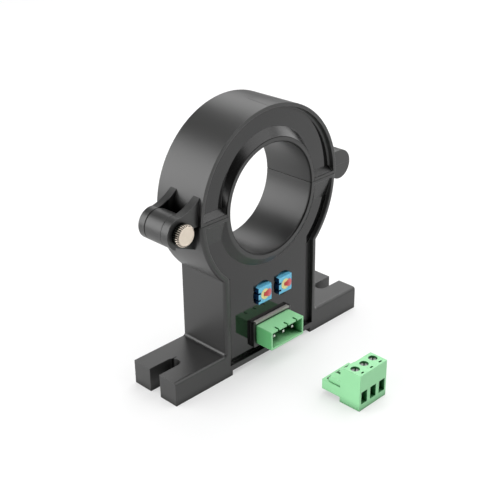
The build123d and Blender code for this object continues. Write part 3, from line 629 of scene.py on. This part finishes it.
# The lock's bush is turned from brass, with a thread inside for the lock screw.
# It is moulded into the lower half's knuckle.
brass = finish(
    "brass", spots=700.0, stretch=(1.0, 8.0, 1.0),
    dark=(0.55, 0.38, 0.13), light=(0.70, 0.50, 0.20), smooth=0.2, rough=0.4, metal=1.0,
)
dress(brass, "lock_insert")

# A dark washer under the lock screw's head keeps it from marking the shell.
# It is punched from nylon sheet.
washer_nylon = finish(
    "washer_nylon", spots=1200.0,
    dark=(0.03, 0.03, 0.03), light=(0.06, 0.06, 0.058), smooth=0.35, rough=0.55,
)
dress(washer_nylon, "lock_washer")

# The lock screw is turned from brass and nickel plated. Its head is knurled for the fingers,
# the knurl running out in a chamfer at the front, and its shank threads into the bush.
lock_low, lock_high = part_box("lock_screw")
lock_head_radius = (lock_high[0] - lock_low[0]) / 2
lock_head_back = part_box("lock_washer")[0][1]
lock_head_length = lock_head_back - lock_low[1]
lock_shank_radius = 1.95 * MM
lock_knurl_teeth = 32
lock_knurl_depth = 0.32 * MM
lock_chamfer_rise = 0.45 * MM
lock_chamfer_width = 0.70 * MM
lock_face_margin = 0.45 * MM
lock_face_sink = 0.05 * MM
lock_sink_taper = 0.985
lock_unshaded_teeth = 1.3 * MM
lock_tip_chamfer = 0.4 * MM
lock_thread_pitch = 0.7 * MM
lock_shank_skin = 0.1 * MM
lock_finish_height = 0.04 * MM
lock_thread_share, lock_lathe_share = 12.0, 0.15
lathe_lines = 9000.0
nickel_dark, nickel_light = (0.65, 0.57, 0.48), (0.71, 0.62, 0.53)
nickel_back_teeth_shade = (0.06, 0.065, 0.055)
nickel_groove_shade = (0.004, 0.004, 0.003)
lock_middle = ((lock_low[0] + lock_high[0]) / 2, lock_head_back, (lock_low[2] + lock_high[2]) / 2)

screw = bmesh.new()
head_rim = circle(screw, lock_head_radius, 2 * lock_knurl_teeth)
shank_rim = circle(screw, lock_shank_radius, 2 * lock_knurl_teeth)
head_points = sorted({end for edge in head_rim for end in edge.verts}, key=lambda end: end.index)
grooves = [point for point in head_points if point.index % 2]
groove_scale = 1.0 - lock_knurl_depth / lock_head_radius
bmesh.ops.scale(screw, vec=(groove_scale, groove_scale, 1.0), verts=grooves)
bmesh.ops.bridge_loops(screw, edges=head_rim + shank_rim)
rim = pull(screw, head_rim, lock_head_length - lock_chamfer_rise)
rim = pull(screw, rim, lock_chamfer_rise)
chamfer_radius = lock_head_radius - lock_chamfer_width
for point in {end for edge in rim for end in edge.verts}:
    point.co.xy = chamfer_radius * point.co.xy.normalized()
rim = pull(screw, rim, grow=1.0 - lock_face_margin / chamfer_radius)
rim = pull(screw, rim, -lock_face_sink, lock_sink_taper)
fill(screw, rim)
shank_length = lock_high[1] - lock_head_back
rim = pull(screw, shank_rim, lock_tip_chamfer - shank_length)
rim = pull(screw, rim, -lock_tip_chamfer, 1.0 - lock_tip_chamfer / lock_shank_radius)
fill(screw, rim)

nickel, start, inputs = new_material("nickel")
from_axis = place_of(start, centre=lock_middle)
part = {axis: start.node("SeparateXYZ", {}, {0: from_axis}, output=axis) for axis in "XYZ"}
radius = start.node("VectorMath", {"operation": "LENGTH"}, {
    0: place_of(start, centre=lock_middle, stretch=(1.0, 0.0, 1.0)),
}, output="Value")
on_shank = 1.0 - radius.above(lock_shank_radius + lock_shank_skin, 0.02 * MM)
on_knurl = radius.above(chamfer_radius + crisp, crisp)
turns = part["X"].math("ARCTAN2", part["Z"], part["X"]) * (0.5 / pi)
along = part["Y"] * (1.0 / lock_thread_pitch) + turns
thread = along.math("PINGPONG", along, 0.5) * on_shank
teeth = turns * float(lock_knurl_teeth)
groove_shade = teeth.math("PINGPONG", teeth, 0.5) * 2.0 * on_knurl
lathe = start.node("TexNoise", {"noise_dimensions": "1D"}, {"W": radius, "Scale": lathe_lines, "Detail": 1.0})
plate = noise(start, 900.0)
bright = blend(start, plate, nickel_dark, nickel_light)
# The back of the knurl, towards the washer, is painted dark: painted shade.
back_teeth_shade = part["Y"].above(lock_unshaded_teeth - lock_head_length, 0.3 * MM)
back_teeth_shade = back_teeth_shade * radius.above(0.9 * lock_head_radius, crisp)
bright = blend(start, back_teeth_shade, bright, nickel_back_teeth_shade)
# The knurl's grooves are painted near black: painted shade.
start.feed(inputs["Base Color"], blend(start, groove_shade.above(0.45, 0.2), bright, nickel_groove_shade))
start.feed(inputs["Roughness"], 0.26 + plate * 0.12 + lathe * 0.06)
inputs["Metallic"].default_value = 1.0
start.feed(inputs["Normal"], start.node("Bump", {}, {
    "Height": thread * lock_thread_share + lathe * lock_lathe_share,
    "Strength": 0.6, "Distance": lock_finish_height,
}))
piece = stand(screw, "knurled_lock_screw", lock_middle)
piece.data.materials.append(nickel)
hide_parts("lock_screw")
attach(piece, "lock_screw")

# The header and the plug are moulded in the soft green of pluggable terminals. The header is
# soldered to the board by its pins, and the plug pushes into it.
green_dark, green_light = (0.24, 0.58, 0.285), (0.27, 0.63, 0.32)
green_header_top_lit = (0.33, 0.74, 0.38)
green_header_left_shade = (0.15, 0.52, 0.20)
green_edge_pale = (0.38, 0.78, 0.46)
green_painted_shade = (0.002, 0.10, 0.018)
green_edge_round = 0.2 * MM
green_shade_reach = 7.0 * MM
green_grain_height = 0.03 * MM
plug_to_header = -28.0 * MM
terminal_green, start, inputs = new_material("terminal_green")
tint = noise(start, 220.0)
grain = noise(start, 4200.0)
pale_edge = edge_mask(start, green_edge_round)
facing = start.node("NewGeometry", output="Normal")
facing_up = start.node("SeparateXYZ", {}, {0: facing}, output="Z").above(0.9, 0.05)
facing_left = 1.0 - start.node("SeparateXYZ", {}, {0: facing}, output="X").above(-0.9, 0.05)
on_header = start.node("SeparateXYZ", {}, {0: place_of(start)}, output="Y").above(plug_to_header, soft)
green = blend(start, tint, green_dark, green_light)
# The header's top is painted lighter and its left side darker: painted light and painted shade.
green = blend(start, facing_up * on_header, green, green_header_top_lit)
green = blend(start, facing_left * on_header, green, green_header_left_shade)
green = blend(start, pale_edge * 0.5, green, green_edge_pale)
# Painted shade, deep green, in the pockets and slots.
deep_shade = painted_shade_mask(start, green_shade_reach).above(0.5, 0.3)
green = blend(start, deep_shade * 0.94, green, green_painted_shade)
start.feed(inputs["Base Color"], green)
start.feed(inputs["Roughness"], 0.32 + grain * 0.12)
start.feed(inputs["Normal"], start.node("Bump", {}, {
    "Height": grain, "Strength": 0.15, "Distance": green_grain_height,
    "Normal": rounded(start, green_edge_round),
}))
dress(terminal_green, "terminal_header", "plug_housing")

# The plug's clamp screws are zinc-plated steel, seen down the holes in its top.
# Each one lifts its cage as it turns. Their colour is darkened there as painted shade.
zinc_in_shade = finish(
    "zinc_in_shade", spots=1500.0,
    dark=(0.20, 0.21, 0.20), light=(0.30, 0.31, 0.30), smooth=0.3, rough=0.55, metal=1.0,
)
dress(zinc_in_shade, "plug_screw_1", "plug_screw_2", "plug_screw_3")

# The wire cages are folded from steel and the contacts pressed from bronze.
# They sit in the shade of the plug's windows and are painted dark and greenish: painted shade and painted
# reflection of the green walls.
shaded_cage_and_contact = finish(
    "shaded_cage_and_contact", spots=1500.0,
    dark=(0.05, 0.065, 0.05), light=(0.09, 0.11, 0.09), smooth=0.4, rough=0.65, metal=1.0,
)
dress(shaded_cage_and_contact, "plug_cage_1", "plug_cage_2", "plug_cage_3", "plug_contacts")
